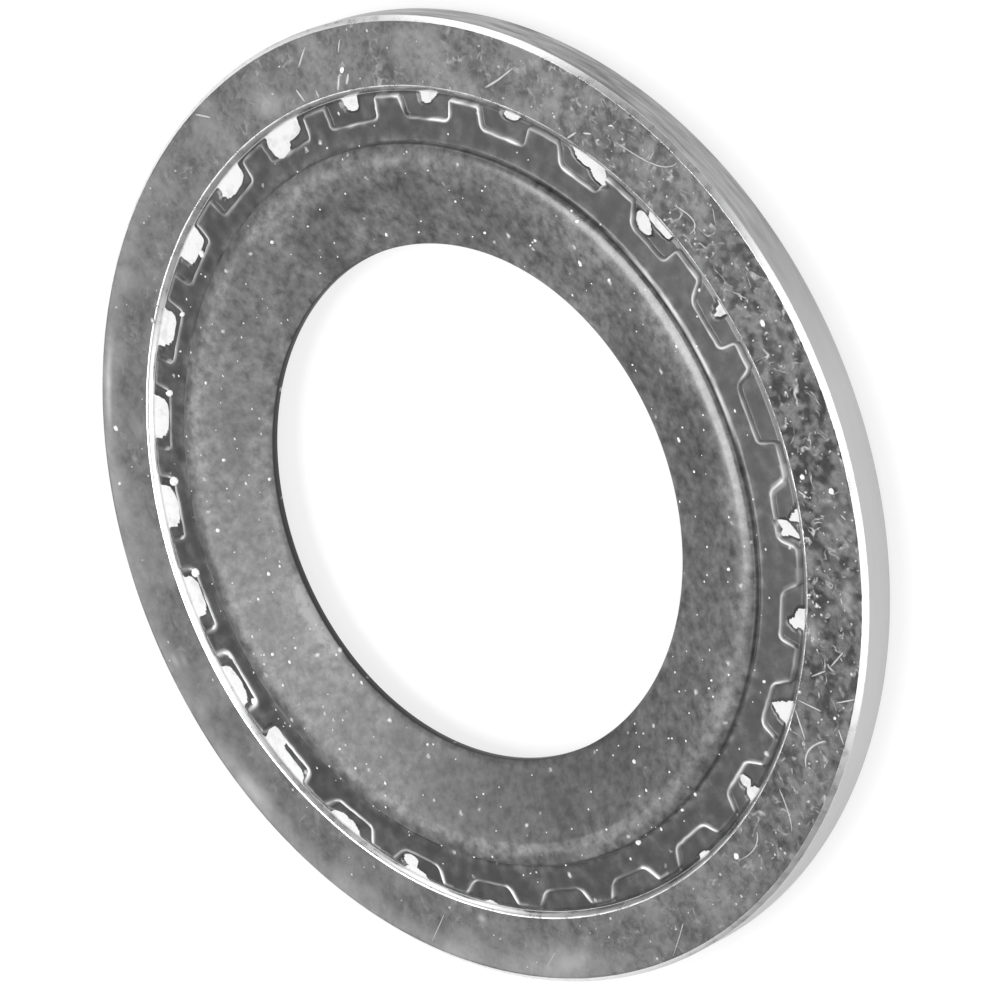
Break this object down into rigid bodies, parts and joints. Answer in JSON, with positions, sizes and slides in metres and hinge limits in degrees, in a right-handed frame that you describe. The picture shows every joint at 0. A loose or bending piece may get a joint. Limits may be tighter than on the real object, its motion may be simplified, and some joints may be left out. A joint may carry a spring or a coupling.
{
  "type": "bonded sealing washer",
  "caption": "Bonded sealing washer: a flat pitted steel ring with a rubber seal moulded inside, its bead proud of both faces and its outer skirt cut into teeth.",
  "frame": {"origin": "centre of the bore, level with the crest of the lower bead that the washer lies on", "axes": "+Z along the bore, square to the faces; +X through the middle of one moulding pocket"},
  "size_m": [0.028, 0.028, 0.0016],
  "materials": {
    "metal_ring": "satin",
    "rubber_seal": "satin"
  },
  "bodies": {
    "root": {"metal_ring": "metal_ring", "rubber_seal": "rubber_seal"}
  },
  "joints": []
}
